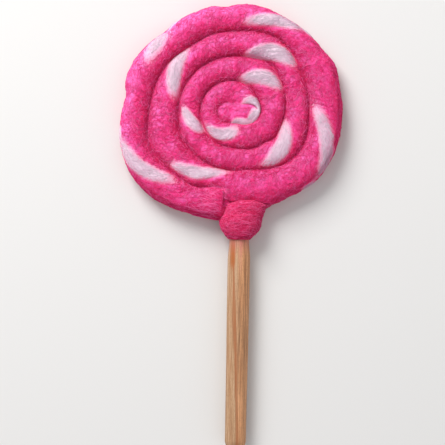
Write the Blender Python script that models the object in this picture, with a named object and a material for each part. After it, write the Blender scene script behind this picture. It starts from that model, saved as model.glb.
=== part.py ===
# A toy lollipop of felted wool: a twisted rope wound flat into a swirl, a wrapped collar and a wooden stick.
# It lies on its back on the plane z = 0, its front up, with the stick along -Y. All sizes are in millimetres.

import math

import bmesh
import bpy
import numpy as np

MM = 0.001
CLEARANCE = 0.3               # between neighbouring pieces
MIDDLE_Z = 5.0                # the plane halfway through the swirl, which is also the stick's

# The swirl's plan. Bearings are in degrees, clockwise seen from the front, and grow inwards along the rope.
SWIRL_CENTRE = (1.2, 42.2)
SWIRL_TURN = -1.13            # where bearing 0 points, clockwise from +Y
RIM_RADIUS = 40.1
ROPE_START = 187.5            # the rope's blunt outer end, beside the collar
GROOVE_END = 1522.5           # where the groove between the turns fades out, next to the middle
LAST_RIM_BEARING = 185.4      # the rim's last point before it turns in sharply behind the rope's end
SLIPS = (                     # from bearing, to bearing, how far the groove moves outwards in between
    (118, 153, -3.0),
    (157, 171, -3.9),
    (185.4, 188.2, -4.5),
    (191, 214, 2.9),
    (215, 470, -3.4),
    (478, 534, -6.6),
    (590, 632, -0.9),
    (765, 838, -2.9),
    (838, 860, -2.3),
    (860, 905, -2.1),
    (905, 1000, -0.8),
    (1020, 1170, -3.0),
    (1165, 1258, -5.3),
    (1262, 1350, 2.0),
    (1350, 1436, -2.9),
    (1444, 1522, 3.9),
)
SWELLS = (                    # bearing, reach in degrees, how far the line is pushed outwards there
    (-120, 31, 4.8),
    (-82, 5, -0.8),
    (-66, 14, 1.9),
    (-40, 4, -0.9),
    (-5, 4, -0.9),
    (65, 8, 1.1),
    (248, 17, 2.2),
    (325, 14, -1.0),
    (390, 22, 2.4),
    (449, 14, -0.8),
)

# The rope's section
CREST = 5.5                   # from the middle plane up to the rope's crest, on the outer turn
CREST_INSIDE = 5.0            # the same on the innermost turn
UNDERSIDE = 5.4               # the same downwards, before the floor flattens it
GROOVE_LEVEL = 0.43           # a groove's height, as a share of the crest's
FADED_LEVEL = 0.9             # the same where the groove fades out at the middle
FADE_FROM = 1470
MIDDLE_WIDTH = 9.0            # across the rope's inner end, the rounded lump in the middle
END_ROUNDING = (0.82, 0.95)   # the crest's share at the rope's outer end, and one step further in

# The rope's twist: the bearings where its pale strand crosses the crest, and the strand's relief
STRAND_AT = (120, 180, 240, 309, 382, 465, 571, 665, 748, 848, 980, 1110, 1285, 1435, 1560)
STRAND_RELIEF = 0.25

STEPS = 48                    # rungs in a turn of the rope
STRIPS = 8                    # faces across the rope, on the front and again on the back
RIM_ROWS = 3                  # rows of points down the rim, between front and back

# The stick, a round dowel, from its hidden top end to its chamfered foot
STICK_X = 3.92
STICK_TOP = 4.6
STICK_FOOT = -82.0
STICK_RADIUS = 4.15
STICK_FOOT_RADIUS = 3.92
STICK_NECK = 0.5              # how much thinner the stick is inside the collar
NECK_FROM, NECK_TO = -13.0, -5.5
CHAMFER = 1.9
CHAMFER_RADIUS = 3.4
STICK_SIDES = 28

# The collar, wool wound round the stick. Rows: height above its mouth, then from the stick's line its reach to the
# left, its reach to the right, and its rise above the middle plane.
COLLAR_MOUTH = -4.8
COLLAR_ROWS = (
    (0.0, 4.2, 4.3, 4.2),
    (1.4, 5.2, 5.6, 5.3),
    (4.0, 6.8, 7.4, 6.4),
    (7.2, 6.8, 8.2, 6.8),
    (10.9, 5.9, 9.3, 6.6),
    (14.4, 3.6, 11.0, 5.8),
)
COLLAR_HEIGHT_LEFT = 14.4
COLLAR_HEIGHT_RIGHT = 12.4
COLLAR_UNDERSIDE = 5.2
COLLAR_SQUARENESS = 0.86      # below 1, the section is squarer than an ellipse
COLLAR_SIDES = 32
COLLAR_RINGS = 9
BORE_END = 4.9
RIM_BESIDE_COLLAR = 5         # steps of bearing that the swirl's rim runs along the collar

WOOL_PINK = (0.80, 0.055, 0.26)
COLLAR_PINK = (0.74, 0.045, 0.20)
WOOD_TAN = (0.56, 0.34, 0.17)


def smooth(t):
    """Goes from 0 to 1 as t does, level at both ends."""
    t = np.clip(t, 0.0, 1.0)
    return t * t * (3.0 - 2.0 * t)


def line_radius(bearing):
    """Radius of the swirl's line: its rim on the first turn, then the groove between two turns of the rope."""
    radius = RIM_RADIUS
    for start, end, change in SLIPS:
        radius += change * smooth((bearing - start) / (end - start))
    for at, reach, height in SWELLS:
        radius += height * math.exp(-(((bearing - at) / reach) ** 2))
    return radius


def place(bearing, radius):
    """Plan position of a bearing and a radius round the swirl's centre."""
    angle = math.radians(bearing + SWIRL_TURN)
    return np.array((
        SWIRL_CENTRE[0] + radius * math.sin(angle),
        SWIRL_CENTRE[1] + radius * math.cos(angle),
    ))


def crest(bearing, side):
    """Half the rope's thickness at a bearing, on the front (side 1) or the back (side -1)."""
    if side < 0:
        return UNDERSIDE
    inward = smooth((bearing - ROPE_START) / (GROOVE_END - ROPE_START))
    return CREST + (CREST_INSIDE - CREST) * inward


def line_height(bearing, side):
    """Height of the rim's edge or the groove from the middle plane."""
    fade = smooth((bearing - FADE_FROM) / (GROOVE_END - FADE_FROM))
    level = GROOVE_LEVEL + (FADED_LEVEL - GROOVE_LEVEL) * fade
    return crest(bearing, side) * level


def strand_phase(bearing):
    """Turns of twist at a bearing, a whole number where the pale strand is on the crest."""
    return float(np.interp(bearing, STRAND_AT, range(len(STRAND_AT))))


def solid(name, mesh, colour, roughness):
    """Makes an object of a finished bmesh, with its own material."""
    bmesh.ops.recalc_face_normals(mesh, faces=mesh.faces)
    data = bpy.data.meshes.new(name)
    mesh.to_mesh(data)
    mesh.free()
    data.shade_smooth()
    data.set_sharp_from_angle(angle=math.radians(55))
    material = bpy.data.materials.new(name)
    material.use_nodes = True
    shader = material.node_tree.nodes["Principled BSDF"]
    shader.inputs["Base Color"].default_value = (*colour, 1.0)
    shader.inputs["Roughness"].default_value = roughness
    shader.inputs["Metallic"].default_value = 0.0
    data.materials.append(material)
    piece = bpy.data.objects.new(name, data)
    bpy.context.scene.collection.objects.link(piece)
    return piece


def add_point(mesh, x, y, z):
    """Adds a vertex given in millimetres, kept on or above the floor."""
    return mesh.verts.new((x * MM, y * MM, max(z, 0.0) * MM))


def bridge(mesh, first, second):
    """Joins two rows of vertices with faces, with triangles where the rows share a vertex."""
    for k in range(len(first) - 1):
        corners = []
        for vertex in (first[k], first[k + 1], second[k + 1], second[k]):
            if vertex not in corners:
                corners.append(vertex)
        if len(corners) > 2:
            mesh.faces.new(corners)


class Swirl:
    """The rope, as rungs from one line of the swirl to the next. Lines are counted in steps of bearing."""

    def __init__(self):
        self.mesh = bmesh.new()
        self.step = 360.0 / STEPS
        self.first = round(ROPE_START / self.step)
        self.last = round(GROOVE_END / self.step)
        self.columns = {}

    def bearing(self, index):
        """The bearing of a line's point. The rim's last one is drawn close to the rope's end."""
        return LAST_RIM_BEARING if index == self.first - 1 else index * self.step

    def rim_inset(self, index, steepness):
        """How far the rim's surface lies inside its widest line, where its section turns by steepness (0 to 1)."""
        if index >= self.first:
            return 0.0
        bearing = self.bearing(index)
        half_width = (line_radius(bearing) - line_radius(bearing + 360.0)) / 2.0
        fade = min(1.0, (self.first - index) * self.step / 30.0)
        return fade * half_width / math.sqrt(1.0 - GROOVE_LEVEL**2) * (1.0 - steepness)

    def column(self, index):
        """The vertices of a line from front to back. A groove has two, and the rim has rows between them."""
        if index not in self.columns:
            bearing = self.bearing(index)
            rows = RIM_ROWS if index <= self.first else 0
            lean = math.acos(GROOVE_LEVEL)
            points = []
            for row in range(rows + 2):
                turned = lean + (math.pi - 2.0 * lean) * row / (rows + 1)
                side = 1 if row <= rows / 2 else -1
                height = line_height(bearing, side)
                if 0 < row < rows + 1:
                    height = crest(bearing, side) * abs(math.cos(turned))
                radius = line_radius(bearing) - self.rim_inset(index, math.sin(turned))
                x, y = place(bearing, radius)
                points.append(add_point(self.mesh, x, y, MIDDLE_Z + side * height))
            self.columns[index] = points
        return self.columns[index]

    def rung(self, inner, outer, side, share=1.0):
        """A row of vertices over the rope, from its inner line to its outer one."""
        ends = [self.column(index)[0 if side > 0 else -1] for index in (inner, outer)]
        if inner == outer:
            return [ends[0]] * (STRIPS + 1)
        low = [abs(end.co.z / MM - MIDDLE_Z) for end in ends]
        top = max(low) + (crest(inner * self.step, side) - max(low)) * share
        bends = [math.acos(min(1.0, height / top)) for height in low]
        row = [ends[0]]
        for k in range(1, STRIPS):
            turn = 2.0 * k / STRIPS - 1.0
            bend = bends[0] if turn < 0 else bends[1]
            across = math.sin(bend * turn) / math.sin(bend)
            x, y = ((ends[0].co.xy * (1 - across) + ends[1].co.xy * (1 + across)) / (2 * MM))
            twist = 2.0 * math.pi * strand_phase(inner * self.step) - math.asin(across)
            height = top * math.cos(bend * turn) + STRAND_RELIEF * math.cos(twist) * (1 - across**2)
            row.append(add_point(self.mesh, x, y, MIDDLE_Z + side * height))
        row.append(ends[1])
        return row

    def rungs(self, side):
        """All rungs of one side: the turns, the bend round the groove's end, and the lump in the middle."""
        turn = STEPS
        bend = 2
        for inner in range(self.first, self.last + 1):
            from_end = inner - self.first
            share = END_ROUNDING[from_end] if from_end < len(END_ROUNDING) else 1.0
            yield self.rung(inner, inner - turn, side, share)
        for step in range(1, bend + 1):
            yield self.rung(self.last, self.last - turn + step, side)
        start = self.last - turn + bend
        reach = (self.last - start) // 2
        for step in range(1, reach + 1):
            inner, outer = self.last - step, start + step
            share = 1.0
            if step > reach / 2:
                across = self.column(inner)[0].co.xy - self.column(outer)[0].co.xy
                share = math.sin(math.pi / 2 * min(1.0, across.length / MM / MIDDLE_WIDTH))
            yield self.rung(inner, outer, side, share)

    def build(self):
        for side in (1, -1):
            rows = list(self.rungs(side))
            for first, second in zip(rows, rows[1:]):
                bridge(self.mesh, first, second)
            if side > 0:
                front_end = rows[0]
            else:
                back_end = rows[0]
        for index in range(self.first - STEPS, self.first):
            bridge(self.mesh, self.column(index), self.column(index + 1))
        self.close_end(front_end, back_end)
        return self.mesh

    def close_end(self, front, back):
        """Closes the rope's blunt outer end, between its first rung on the front and on the back."""
        columns = [self.column(self.first)]
        for k in range(1, STRIPS):
            start, end = front[k].co / MM, back[k].co / MM
            column = [front[k]]
            for row in range(1, RIM_ROWS + 1):
                x, y, z = start.lerp(end, row / (RIM_ROWS + 1))
                column.append(add_point(self.mesh, x, y, z))
            columns.append(column + [back[k]])
        columns.append(self.column(self.first - STEPS))
        for first, second in zip(columns, columns[1:]):
            bridge(self.mesh, first, second)


def ring(mesh, points):
    """Adds a closed ring of vertices."""
    return [add_point(mesh, *point) for point in points]


def bridge_rings(mesh, first, second):
    """Joins two closed rings with quads."""
    bridge(mesh, first + first[:1], second + second[:1])


def stick_radius(y):
    """The dowel's radius: slightly thicker towards the top, with a thinner neck that goes into the collar."""
    radius = STICK_FOOT_RADIUS + (STICK_RADIUS - STICK_FOOT_RADIUS) * smooth((y - STICK_FOOT) / 60.0)
    return radius - STICK_NECK * smooth((y - NECK_FROM) / (NECK_TO - NECK_FROM))


def round_points(y, radius, sides):
    """Points of a circle round the stick's axis."""
    turns = [2.0 * math.pi * k / sides for k in range(sides)]
    return [(STICK_X + radius * math.cos(a), y, MIDDLE_Z + radius * math.sin(a)) for a in turns]


def stick_mesh():
    mesh = bmesh.new()
    neck = np.linspace(NECK_TO, NECK_FROM, 5)
    body = np.linspace(NECK_FROM, STICK_FOOT + CHAMFER, 7)[1:]
    rings = [ring(mesh, round_points(STICK_TOP, stick_radius(STICK_TOP), STICK_SIDES))]
    for y in (*neck, *body):
        rings.append(ring(mesh, round_points(y, stick_radius(y), STICK_SIDES)))
    rings.append(ring(mesh, round_points(STICK_FOOT, CHAMFER_RADIUS, STICK_SIDES)))
    for first, second in zip(rings, rings[1:]):
        bridge_rings(mesh, first, second)
    mesh.faces.new(rings[0])
    mesh.faces.new(rings[-1])
    return mesh


def collar_row(height):
    """The collar's reach left, reach right and rise at a height above its mouth, on a smooth curve."""
    heights = [row[0] for row in COLLAR_ROWS]
    k = min(max(np.searchsorted(heights, height, side="right") - 1, 0), len(heights) - 2)
    t = (height - heights[k]) / (heights[k + 1] - heights[k])
    rows = [np.array(COLLAR_ROWS[min(max(k + j, 0), len(heights) - 1)][1:]) for j in (-1, 0, 1, 2)]
    before, start, end, after = rows
    bend = 2 * before - 5 * start + 4 * end - after
    return start + 0.5 * t * (end - before + t * (bend + t * (3 * (start - end) + after - before)))


def rim_beside_collar():
    """Plan of the swirl's rim by the collar, moved outwards by the clearance, as x and y from left to right."""
    bearings = [LAST_RIM_BEARING]
    bearings += [ROPE_START - k * 360.0 / STEPS for k in range(2, RIM_BESIDE_COLLAR)]
    points = np.array([place(b, line_radius(b)) for b in bearings])
    along = np.gradient(points, axis=0)
    along /= np.linalg.norm(along, axis=1)[:, None]
    moved = points + CLEARANCE * np.stack((along[:, 1], -along[:, 0]), axis=1)
    return moved[:, 0], moved[:, 1]


def collar_ring(share, rim):
    """A ring of the collar, share of the way from its mouth to the swirl's rim, which its top end follows."""
    left = collar_row(share * COLLAR_HEIGHT_LEFT)[0]
    right = collar_row(share * COLLAR_HEIGHT_RIGHT)[1]
    rise = collar_row(share * COLLAR_HEIGHT_LEFT)[2]
    fall = min(rise, COLLAR_UNDERSIDE)
    points = []
    for k in range(COLLAR_SIDES):
        angle = 2.0 * math.pi * k / COLLAR_SIDES
        across = math.copysign(abs(math.cos(angle)) ** COLLAR_SQUARENESS, math.cos(angle))
        up = math.copysign(abs(math.sin(angle)) ** COLLAR_SQUARENESS, math.sin(angle))
        x = STICK_X + across * (right if across > 0 else left)
        top = min(np.interp(x, *rim), COLLAR_MOUTH + COLLAR_HEIGHT_LEFT)
        y = COLLAR_MOUTH + share * (top - COLLAR_MOUTH)
        points.append((x, y, MIDDLE_Z + up * (rise if up > 0 else fall)))
    return points


def collar_mesh():
    mesh = bmesh.new()
    rim = rim_beside_collar()
    shares = np.linspace(0.0, 1.0, COLLAR_RINGS) ** 1.3
    rings = [ring(mesh, collar_ring(share, rim)) for share in shares]
    bore = stick_radius(STICK_TOP) + CLEARANCE
    inside = [ring(mesh, round_points(y, bore, COLLAR_SIDES)) for y in (COLLAR_MOUTH, BORE_END)]
    rings = inside[::-1] + rings
    for first, second in zip(rings, rings[1:]):
        bridge_rings(mesh, first, second)
    mesh.faces.new(inside[1])
    top = rings[-1]
    half = COLLAR_SIDES // 2
    upper = top[: half + 1]
    lower = [top[0]] + top[: half - 1 : -1]
    bridge(mesh, upper, lower)
    return mesh


def main():
    for piece in list(bpy.data.objects):
        bpy.data.objects.remove(piece)
    solid("felt_coil", Swirl().build(), WOOL_PINK, 0.95)
    solid("felt_collar", collar_mesh(), COLLAR_PINK, 0.95)
    solid("wooden_stick", stick_mesh(), WOOD_TAN, 0.6)


main()
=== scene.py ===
# The felt toy lollipop's looks: felted rope, wound collar, wooden stick, pale floor, soft studio light.
import math

import bpy
import numpy as np
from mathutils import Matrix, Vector, noise
from mathutils.bvhtree import BVHTree


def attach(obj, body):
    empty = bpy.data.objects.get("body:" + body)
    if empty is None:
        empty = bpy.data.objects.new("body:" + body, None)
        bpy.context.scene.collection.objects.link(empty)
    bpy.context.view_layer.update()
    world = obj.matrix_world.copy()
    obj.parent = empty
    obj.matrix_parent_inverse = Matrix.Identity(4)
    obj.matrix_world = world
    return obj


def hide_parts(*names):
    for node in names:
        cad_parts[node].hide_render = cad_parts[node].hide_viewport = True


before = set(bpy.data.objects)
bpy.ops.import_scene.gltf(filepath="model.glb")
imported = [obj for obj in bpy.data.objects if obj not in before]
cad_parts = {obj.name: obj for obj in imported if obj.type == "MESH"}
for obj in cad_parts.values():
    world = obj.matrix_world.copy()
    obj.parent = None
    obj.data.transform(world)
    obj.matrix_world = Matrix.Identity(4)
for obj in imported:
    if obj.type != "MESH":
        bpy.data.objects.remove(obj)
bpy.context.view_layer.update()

# Sizes are in millimetres until a mesh is made.
MM = 0.001
BODY = "root"
MIDDLE_Z = 5.0
FLOOR_CLEARANCE = 0.02

# The photograph's view: its size, a pixel's size on the lollipop, and where the swirl's centre is.
PHOTO_PIXELS = 445
PIXEL = 0.372
CENTRE_PIXEL = (234.5, 112.5)
CAMERA_HEIGHT = 620.0
SENSOR_MM = 36.0

# The swirl's plan, as in the model. Bearings are in degrees, clockwise, and grow inwards along the rope. A
# slip has a start, an end and the line's change of radius. A swell has a bearing, a reach and a height.
SWIRL_CENTRE = (1.2, 42.2)
SWIRL_TURN = -1.13
RIM_RADIUS = 40.1
ROPE_START = 187.5
GROOVE_END = 1522.5
LAST_RIM_BEARING = 185.4
SLIPS = (
    (118, 153, -3.0), (157, 171, -3.9), (181.0, 187.6, -1.2), (186.0, 188.2, -3.3), (191, 214, 2.9),
    (215, 470, -3.4), (478, 534, -6.6), (590, 632, -0.9), (765, 838, -2.9), (838, 860, -2.3),
    (860, 905, -2.1), (905, 1000, -0.8), (1020, 1170, -3.0), (1165, 1258, -5.3), (1262, 1350, 2.0),
    (1350, 1436, -2.9), (1478, 1526, 5.0),
)
SWELLS = (
    (-120, 31, 4.8), (-82, 5, -0.8), (-66, 14, 1.9), (-40, 4, -0.9), (-5, 4, -0.9), (65, 8, 1.1),
    (248, 17, 2.2), (325, 14, -1.0), (390, 22, 2.4), (449, 14, -0.8), (756, 15, 1.4),
)

# The rope's section
CREST = 5.5
CREST_INSIDE = 5.0
UNDERSIDE = 5.4
GROOVE_LEVEL = 0.43  # the rim's edge, as a share of the crest's height
RIM_LEAN = math.acos(GROOVE_LEVEL)
FILLED_LEVEL = 0.58  # a groove's level between turns, where fibres fill it in
FADED_LEVEL = 0.92  # a groove's level at its inner end
FADE_FROM = 1240  # the bearing from which the groove gets shallower
FADE_POWER = 0.7
RIM_DROP = (189.5, 8.0)  # where the rim's edge becomes a groove, and over how many degrees
RIM_INSET_FADE = 30.0  # degrees before the rope's end over which the rim's inset fades
BEND = 15.0  # degrees of the turn round the groove's inner end
MIDDLE_WIDTH = 9.0  # the rope gets lower where the middle is narrower than this
SHOULDER_POWER = 0.74  # below 1, the rope's section is fuller than a circle's
VALLEY = 0.24  # the share of the rope's half width over which a groove's bottom is rounded
VALLEY_LEVEL = 0.25  # how much of its height the section keeps there
# A groove's shade is painted into the wool's colour
SHADE_START = 0.25  # the share of the rope's half width where a groove's shade starts
SHADE_POWER = 1.4
END_ROUNDING = 8.0  # degrees of bearing over which the rope's blunt end is rounded off
# Degrees before the rope's end over which the rim's relief fades, its painted shade grows and its section
# closes
END_RELIEF, END_SHADE, END_CLOSING = 5.0, 3.5, 3.0
STEPS = 480  # rungs in a turn of the rope
FRONT_STRIPS = 20
BACK_STRIPS = 12
RIM_ROWS = 7
HALF_ROUND = 6.5  # from the crest round to the groove, in mm
RIM_ROUND = 8.0  # down the rim, in mm
RING_WIDTH = 50.0  # around the collar and the stick, in the layout for textures, in mm
EVENED = 12  # rungs on each side over which the wool's way is evened out
DEEPENING = 16.0  # degrees past the rope's end over which its outer groove gets its full shade

# Where felting has partly closed a groove: bearing, how far it stays closed and then opens, and its level
FUSED = (
    (175.0, 13.0, 9.0, 0.72), (187.5, 7.0, 13.0, 0.8),
    (530.0, 5.0, 13.0, 0.72), (1225.0, 44.0, 24.0, 0.88),
)

# How far the rope's blunt end bulges, from its inner side to its outer side, in mm
END_BULGE = (
    (-1.0, 0.0), (-0.5, 0.3), (-0.2, 0.3), (-0.05, 0.9),
    (0.15, 1.7), (0.45, 1.9), (0.75, 1.4), (1.0, 0.0),
)

# The small gap between the rope's end, the next turn and the collar, and how far loose fibres reach across it
GAP_BEARING = 186.0
GAP_RADIUS = 33.1
GAP_LEVEL = 3.3
GAP_REACH = 2.6

# Where the white strand shows on the front: the bearing of its middle, half its length in degrees, its
# middle across the rope (-1 at the inner groove, 1 at the outer one), how far it slants across in half its
# length, half its width, and how strong it is
STREAKS = (
    (239, 21, 0.25, 1.0, 0.62, 0.92), (310, 15, 0.58, 0.45, 0.86, 0.56),
    (383, 18, 0.32, 0.72, 0.66, 0.96), (468, 27, 0.34, 1.15, 0.62, 0.85),
    (569, 25, -0.12, 0.78, 0.6, 0.95), (664, 23, 0.22, 0.9, 0.7, 0.95),
    (751, 22, -0.2, 0.9, 0.76, 1.15), (846, 29, -0.12, 0.85, 0.62, 1.0),
    (976, 22, -0.2, 0.8, 0.66, 1.0), (1116, 30, -0.04, 0.85, 0.62, 1.0),
    (1285, 42, 0.02, 0.58, 0.66, 1.0), (1516, 41, -0.02, 0.3, 1.05, 1.05),
)
MIDDLE_STREAKS = (
    (1548, 28, 0.5, 0.9, 1.15, 1.1),
    (1595, 46, 0.9, 0.12, 0.52, 1.05),
)
BACK_SLANT = -0.85
BACK_WIDTH = 0.58
RIM_FADE = 1.4  # how fast a streak that reaches the rim's edge fades down the rim
RIM_STREAK = 6.0  # half the white strand's width where it passes down the rim, in degrees
RIM_STRENGTH = 0.6  # how strong it is there

# The felt's relief: height in mm, whether it follows the fibres, waves for each mm, and a seed
FELT_RELIEF = (
    (0.4, False, (0.13, 0.13, 0.13), 3.0),
    (0.3, True, (0.11, 0.28, 0.0), 5.0),
    (0.05, True, (0.45, 1.3, 0.0), 1.7),
    (0.05, False, (1.3, 1.3, 1.3), 9.0),
)
STREAK_RISE = 0.11  # how high the white strand stands, and how deep the furrow beside it is
STREAK_FURROW = 0.07

# The collar and the stick, as in the model
STICK_X = 3.92
STICK_TOP = 4.6
STICK_FOOT = -82.0
STICK_RADIUS = 4.15
STICK_FOOT_RADIUS = 3.92
STICK_NECK = 0.5
NECK_FROM, NECK_TO = -13.0, -5.5
CHAMFER = 1.9
CHAMFER_RADIUS = 3.4
COLLAR_MOUTH = -4.8
COLLAR_RISES = ((0.0, 4.2), (1.4, 5.3), (4.0, 6.4), (7.2, 6.8), (10.9, 6.6), (14.4, 5.8))
COLLAR_HEIGHT_LEFT = 14.4
COLLAR_HEIGHT_RIGHT = 12.4
COLLAR_UNDERSIDE = 5.2
COLLAR_SQUARENESS = 0.86
BORE_END = 4.9
BORE_RADIUS = 3.94

# How the visual collar closes on the coil: its overlap, its rounded shoulder and the shoulder's foot. Its
# reach to the left and to the right is the photograph's, at heights above its mouth.
COLLAR_OVERLAP = 0.3
COLLAR_REACH = (
    (0.0, 4.0, 4.0), (0.7, 4.7, 4.8), (1.6, 5.5, 5.8), (2.7, 6.3, 6.9), (4.2, 7.1, 7.7),
    (5.7, 7.5, 8.15), (7.2, 7.55, 8.4), (9.0, 6.7, 8.8), (10.9, 5.8, 9.8), (12.4, 5.3, 12.0),
    (13.5, 4.2, 12.6), (14.4, 3.0, 13.0),
)
SHOULDER = 2.6
SHOULDER_LEVEL = 3.7
COLLAR_SIDES = 112
COLLAR_RINGS = 78
# Painted shade: the collar's last rings, where it closes on the coil, get darker
COLLAR_RINGS_WITH_PAINTED_SHADE = 16  # rings at the coil that get darker

# The collar's windings: height in mm, waves around and along, and a seed. Each drifts along on its way round.
# Its roughness: height in mm, and waves for each mm.
WINDINGS = ((0.3, 1.0, 0.3, 0.0), (0.12, 1.3, 0.85, 7.0), (0.07, 2.0, 2.1, 3.0))
WINDING_SLANT = 0.4
COLLAR_ROUGHNESS = (0.1, 1.2)

# The stick's faces, and its relief: height in mm, and waves around and along
STICK_SIDES = 72
STICK_RINGS = 110
STICK_RELIEF = ((0.05, 5.0, 0.03), (0.03, 13.0, 0.06))

# Colours, as linear RGB
# Of the wool's colours, the groove and shade ones are painted shade, and the lit one and the whites' bright
# one are painted highlight. They are put on by how deep in a groove the wool lies and how it faces the key
# lamp. The deep and bright pinks vary its tone at random.
PAINTED_GROOVE_SHADE_PINK = (0.66, 0.006, 0.058)
DARK_AND_PAINTED_SHADE_PINK = (0.82, 0.026, 0.155)
WOOL_PINK = (0.88, 0.052, 0.262)
PAINTED_HIGHLIGHT_PINK = (0.83, 0.175, 0.53)
DEEP_PINK = (0.66, 0.01, 0.08)
BRIGHT_PINK = (0.93, 0.15, 0.45)
WHITE_DARK_AND_PAINTED_SHADE = (0.77, 0.35, 0.51)
WHITE_WOOL = (0.77, 0.55, 0.67)
WHITE_BRIGHT_AND_PAINTED_HIGHLIGHT = (0.83, 0.68, 0.76)
FIBRE_PALE = (0.95, 0.17, 0.43)
# The collar's shade and lit colours are painted shade and painted highlight in the same way
COLLAR_PAINTED_SHADE = (0.76, 0.014, 0.1)
COLLAR_PINK = (0.84, 0.036, 0.175)
COLLAR_PAINTED_HIGHLIGHT = (0.86, 0.06, 0.24)
COLLAR_DEEP = (0.62, 0.009, 0.065)
COLLAR_BRIGHT = (0.92, 0.13, 0.34)
WOOD_DARK = (0.3, 0.15, 0.075)
WOOD_TAN = (0.49, 0.28, 0.145)
WOOD_PALE = (0.6, 0.4, 0.25)
WOOD_BROWN_AND_PAINTED_LIGHT = (0.9, 0.385, 0.155)
WOOD_ORANGE = (0.4, 0.14, 0.052)
WOOD_PATCH = (0.44, 0.125, 0.03)
WOOD_PINK = (0.56, 0.15, 0.15)
FLOOR_COLOUR = (0.78, 0.77, 0.75)

# The felt's fibres: their lean from the rope's way in degrees, and a streak's length and width in mm
FIBRE_LEAN = 54.0
STREAK_LENGTH = 1.5
STREAK_WIDTH = 0.3

# Unevenness of the wool's colour, in cycles for each metre
MATTING = 1900.0
SPECKS = 1350.0
PATCHES = 300.0

# Curls in the wool's colour: cycles for each metre, and a seed
BRIGHT_CURLS = (700.0, 1.0)
DEEP_CURLS = (1000.0, 4.0)
PALE_CURLS = (560.0, 7.0)
CURL_WIDTH = 0.028

# The wool's finish
WOOL_FINISH = {
    "Roughness": 0.88,
    "Specular IOR Level": 0.18,
    "Specular Tint": (0.85, 0.6, 1.0, 1.0),
    "Sheen Roughness": 0.5,
    "Sheen Tint": (0.85, 0.5, 1.0, 1.0),
}
WOOL_SHEEN = 0.1
FIBRE_SHEEN = 0.06

# Streaks along the wood: length and width in mm, and detail
GRAIN = (26.0, 0.55, 5.0)
FINE_GRAIN = (9.0, 0.16, 3.0)
WIDE_GRAIN = (60.0, 2.6, 2.0)
PORES = (1.3, 0.13, 1.0)
ORANGE_LINES = (40.0, 0.42, 2.0)

# Where the wood is marked, in mm, with how far the orange streak drifts for each mm along the stick
ORANGE_DRIFT = (0.039, 2.45)
PATCH_X = -2.3
PATCH_Y = -10.5
STAIN_X = 0.7
TOP_STAIN_Y = 7.0

# Fibres: how many, length in mm, lean, spread and wobble in degrees, lift and rise in mm, points in each one
LAID = (7600, 2.3, FIBRE_LEAN, 30.0, 14.0, 0.09, 0.0, 6)
MATTED = (5500, 3.4, FIBRE_LEAN, 70.0, 42.0, 0.11, 0.12, 8)
TANGLED = (5500, 4.2, 60.0, 80.0, 55.0, 0.2, 0.18, 8)
PALE = (4600, 2.2, 34.0, 16.0, 8.0, 0.07, 0.0, 6)
BRIDGING = (900, 4.0, 4.0, 16.0, 12.0, 0.16, 0.15, 6)
WOUND = (1500, 4.6, 2.0, 9.0, 7.0, 0.1, 0.0, 6)
LOOSE = (700, 3.0, 0.0, 60.0, 45.0, 0.14, 0.15, 8)
GAP_FIBRES = 30
# How much painted shade fibres get in grooves, and how much painted highlight where they face the key lamp
FIBRE_PAINTED_GROOVE_SHADE = 0.4
FIBRE_PAINTED_HIGHLIGHT = 0.45

# Which way the wool is painted paler and bluer, a painted highlight where it faces the key lamp, as on the
# photograph's upper left
PAINTED_LIGHT_WAY = (-0.55, 0.62, 0.56)

# The studio, in metres and watts
FLOOR_HALF = 1.5
LIT_POINT = (0.0, 0.03, 0.0)
SKY_COLOUR = (0.96, 0.97, 1.0, 1.0)
SKY_STRENGTH = 0.46


def smooth(t):
    """Goes from 0 to 1 as t does, level at both ends."""
    t = np.clip(t, 0.0, 1.0)
    return t * t * (3.0 - 2.0 * t)


def unit(vectors):
    """Rows of vectors scaled to length 1."""
    return vectors / np.maximum(np.linalg.norm(vectors, axis=-1, keepdims=True), 1e-9)


# The swirl's lines

def line_radius(bearing):
    radius = np.full(np.shape(bearing), RIM_RADIUS)
    for start, end, change in SLIPS:
        radius = radius + change * smooth((bearing - start) / (end - start))
    for at, reach, height in SWELLS:
        radius = radius + height * np.exp(-(((bearing - at) / reach) ** 2))
    return radius


def place(bearing, radius):
    angle = np.radians(bearing + SWIRL_TURN)
    x, y = SWIRL_CENTRE
    return np.stack((x + radius * np.sin(angle), y + radius * np.cos(angle)), -1)


def crest(bearing, side):
    if side < 0:
        return np.full(np.shape(bearing), UNDERSIDE)
    inward = smooth((bearing - ROPE_START) / (GROOVE_END - ROPE_START))
    return CREST + (CREST_INSIDE - CREST) * inward


def groove_fade(bearing):
    return np.clip((bearing - FADE_FROM) / (GROOVE_END - FADE_FROM), 0.0, 1.0) ** FADE_POWER


def line_height(bearing, side):
    level = FILLED_LEVEL + (FADED_LEVEL - FILLED_LEVEL) * groove_fade(bearing)
    level = level + (GROOVE_LEVEL - level) * smooth((RIM_DROP[0] - bearing) / RIM_DROP[1])
    for at, closed, opening, fused in FUSED:
        near = 1.0 - smooth((np.abs(bearing - at) - closed) / opening)
        level = level + np.maximum(fused - level, 0.0) * near
    return crest(bearing, side) * level


def rim_inset(bearing, steepness):
    """How far the rim's surface lies inside its widest line, for a steepness of 0 (level) to 1."""
    half_width = (line_radius(bearing) - line_radius(bearing + 360.0)) / 2.0
    fade = np.clip((ROPE_START - bearing) / RIM_INSET_FADE, 0.0, 1.0)
    return fade * half_width / math.sqrt(1.0 - GROOVE_LEVEL**2) * (1.0 - steepness)


# The white strand. A field is above 0 where the wool is white.

BACK_STREAKS = tuple(
    ((a[0] + b[0]) / 2.0, (a[1] + b[1]) / 2.0, 0.0, BACK_SLANT, BACK_WIDTH, 1.0)
    for a, b in zip(STREAKS, STREAKS[1:])
)


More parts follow.
